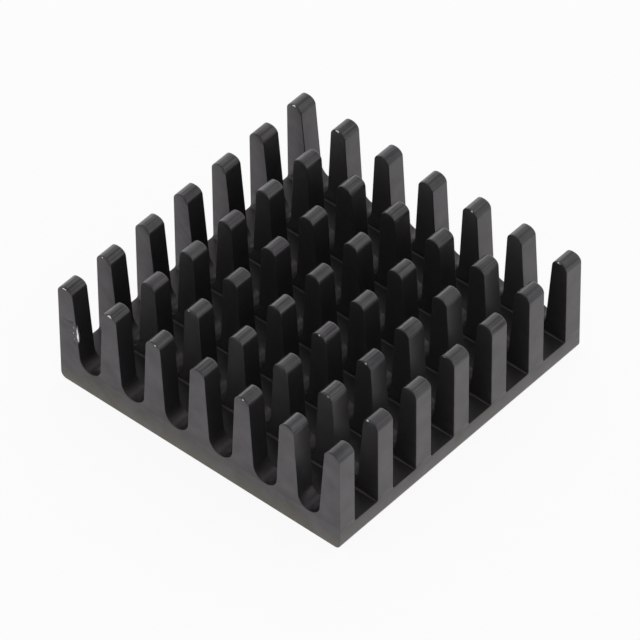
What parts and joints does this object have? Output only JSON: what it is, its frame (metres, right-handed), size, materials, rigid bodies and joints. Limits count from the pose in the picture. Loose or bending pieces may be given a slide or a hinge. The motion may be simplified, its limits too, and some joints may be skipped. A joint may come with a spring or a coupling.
{
  "type": "heat sink",
  "caption": "Square pin heat sink: a flat aluminium base plate with a grid of tapered, round-tipped pins, extruded and cross-cut, black anodised, that cools a flat chip package.",
  "frame": {"origin": "middle of the flat mounting face", "axes": "+Z from the mounting face to the pin tips, +Y along the extruded fins, +X across them, along the sawn slots"},
  "size_m": [0.029, 0.0288, 0.0102],
  "materials": {
    "black_anodised": "satin black anodised"
  },
  "bodies": {
    "root": {"heat_sink": "black_anodised"}
  },
  "joints": []
}
